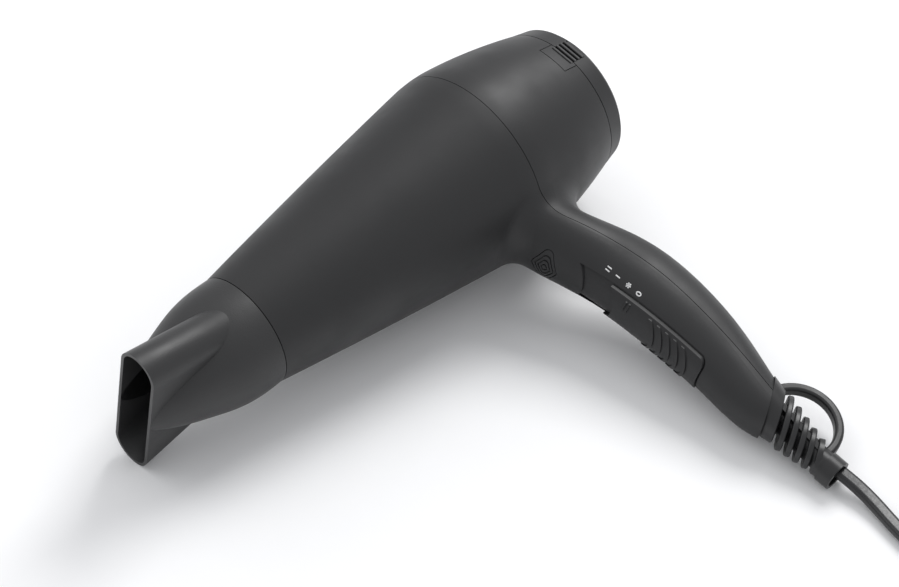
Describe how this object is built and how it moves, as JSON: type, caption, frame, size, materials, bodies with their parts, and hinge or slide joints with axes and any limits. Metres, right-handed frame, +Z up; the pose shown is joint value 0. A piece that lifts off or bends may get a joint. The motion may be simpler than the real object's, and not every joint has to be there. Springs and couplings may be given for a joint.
{
  "type": "hair dryer",
  "caption": "Corded hair dryer lying on its side: tapered barrel, flat concentrator nozzle, curved handle with thumb slider, cool-shot button, hanging loop and coiled mains cord with plug.",
  "frame": {"origin": "under the middle of the dryer's own bounding box (cord, coil and plug left out), on the table", "axes": "+Z up from the table; the barrel runs along X with the nozzle towards -X and tipped down 2.1 degrees; the handle points towards -Y and slopes down 10.5 degrees to the table"},
  "size_m": [0.3858, 0.3819, 0.0918],
  "materials": {
    "body_plastic": "fine matte texture",
    "nozzle_plastic": "slightly grainy matte",
    "heat_plastic": "satin",
    "mica": "satin",
    "heater_wire": "dull",
    "mesh_steel": "woven",
    "screw_steel": "satin",
    "board": "satin",
    "part_black": "satin",
    "cord_rubber": "satin",
    "cord_pvc": "semi gloss",
    "wire_sheath": "semi gloss",
    "pin_nickel": "polished"
  },
  "bodies": {
    "dryer": {"front_housing": "body_plastic", "rear_housing": "body_plastic", "housing_screw": "screw_steel", "outlet_ring": "heat_plastic", "outlet_grille": "heat_plastic", "mica_sleeve": "mica", "mica_frame": "mica", "heater_coil_front": "heater_wire", "heater_coil_rear": "heater_wire", "thermostat": "mesh_steel", "thermal_fuse": "mesh_steel", "fan_duct": "heat_plastic", "motor": "screw_steel", "motor_end_cap": "heat_plastic", "rectifier_board": "board", "diodes": "part_black", "capacitor": "part_black", "switch_body": "part_black", "switch_bracket": "screw_steel", "button_spring": "screw_steel", "cool_shot_switch": "part_black", "strain_relief": "cord_rubber", "cord_clamp": "heat_plastic", "clamp_screws": "screw_steel", "supply_wires": "wire_sheath", "heater_wires": "wire_sheath", "power_cord": "cord_pvc", "plug_cord": "cord_pvc", "cord_coil": "cord_pvc", "cord_tie": "part_black", "plug_relief": "cord_rubber", "plug_body": "cord_rubber", "plug_pin_1": "pin_nickel", "plug_pin_2": "pin_nickel"},
    "nozzle_collar": {"nozzle_collar": "nozzle_plastic"},
    "nozzle": {"nozzle": "nozzle_plastic"},
    "rear_cover": {"rear_cover": "body_plastic", "rear_grille": "body_plastic", "filter_screen": "mesh_steel", "filter_retainer": "body_plastic"},
    "slider": {"speed_slider": "body_plastic", "switch_carriage": "part_black"},
    "button": {"cool_shot_button": "body_plastic"},
    "fan": {"fan_wheel": "heat_plastic", "motor_shaft": "screw_steel"}
  },
  "joints": [
    {"name": "nozzle_pull", "type": "slide", "parent": "dryer", "child": "nozzle_collar", "axis": [-0.9993, 0, -0.0366], "range_m": [0, 0.04]},
    {"name": "nozzle_turn", "type": "hinge", "parent": "nozzle_collar", "child": "nozzle", "pos_m": [-0.0747, 0.08291, 0.04074], "axis": [-0.9993, 0, -0.0366], "continuous": true},
    {"name": "cover_pull", "type": "slide", "parent": "dryer", "child": "rear_cover", "axis": [0.9993, 0, 0.0366], "range_m": [0, 0.03]},
    {"name": "slider_track", "type": "hinge", "parent": "dryer", "child": "slider", "pos_m": [-0.26472, -0.04196, 0.01059], "axis": [-0.036, -0.1824, 0.9826], "range_deg": [0, 2.75]},
    {"name": "button_press", "type": "slide", "parent": "dryer", "child": "button", "axis": [0.9772, 0.1996, 0.0729], "range_m": [0, 0.0016], "stiffness_N_per_m": 600, "deforming": ["button_spring"]},
    {"name": "fan_spin", "type": "hinge", "parent": "dryer", "child": "fan", "pos_m": [0.09919, 0.08291, 0.04712], "axis": [0.9993, 0, 0.0366], "continuous": true}
  ]
}
